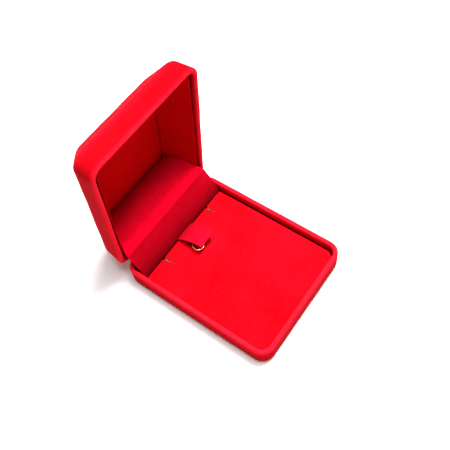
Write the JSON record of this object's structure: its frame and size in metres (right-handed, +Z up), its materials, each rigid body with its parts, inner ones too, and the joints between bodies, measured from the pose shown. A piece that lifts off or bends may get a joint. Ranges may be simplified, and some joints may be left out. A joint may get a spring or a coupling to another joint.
{
  "type": "pendant presentation box",
  "caption": "Hinged velvet-covered jewellery box, standing open, with a flat slit pad and a strap tab with a small ring for displaying a pendant.",
  "frame": {"origin": "centre of the base's flat underside", "axes": "+X along the hinge, +Y from the front edge to the hinge at the back, +Z up; -Z is the outward normal of the underside"},
  "size_m": [0.07, 0.1083, 0.0993],
  "materials": {
    "velvet_red": "flocked velvet, bright red",
    "velvet_pad": "flocked velvet on the pad and strap, bright red",
    "lining_red": "flocked lining, deeper red",
    "underside_felt": "dark red felt",
    "shell_plastic": "matt moulded",
    "grey_card": "raw grey-brown card",
    "pad_foam": "pale foam",
    "hinge_steel": "plain steel",
    "ring_brass": "polished gold-coloured wire"
  },
  "bodies": {
    "base": {"base_underside_panel": "underside_felt", "base_velvet_cover": "velvet_red", "base_shell": "shell_plastic", "pad_foam": "pad_foam", "pad_card": "grey_card", "pad_velvet": "velvet_pad", "strap_anchor": "velvet_pad", "hinge_leaf_base": "hinge_steel", "hinge_pin": "hinge_steel", "base_rivet_left": "hinge_steel", "base_rivet_right": "hinge_steel", "hinge_cover_base_panel": "velvet_red"},
    "lid": {"lid_shell": "shell_plastic", "lid_velvet_cover": "velvet_red", "lid_lining_left": "lining_red", "lid_lining_right": "lining_red", "lid_lining_front": "lining_red", "lid_top_lining": "lining_red", "lid_top_card": "grey_card", "hinge_leaf_lid": "hinge_steel", "lid_rivet_left": "hinge_steel", "lid_rivet_right": "hinge_steel", "hinge_cover_lid_panel": "velvet_red"},
    "tab": {"strap_tab": "velvet_pad"},
    "ring": {"tab_ring": "ring_brass"}
  },
  "joints": [
    {"name": "lid_hinge", "type": "hinge", "parent": "base", "child": "lid", "pos_m": [0, 0.0438, 0.0124], "axis": [1, 0, 0], "range_deg": [0, 83.8], "deforming": ["hinge_cover_base_panel", "hinge_cover_lid_panel"]},
    {"name": "tab_lift", "type": "hinge", "parent": "base", "child": "tab", "pos_m": [0, 0.032, 0.0086], "axis": [-1, 0, 0], "range_deg": [-3, 46], "stiffness_Nm_per_rad": 0.0003},
    {"name": "ring_rock", "type": "hinge", "parent": "tab", "child": "ring", "pos_m": [-0.0034, 0.0193, 0.01175], "axis": [1, 0, 0], "range_deg": [-4, 10]}
  ]
}
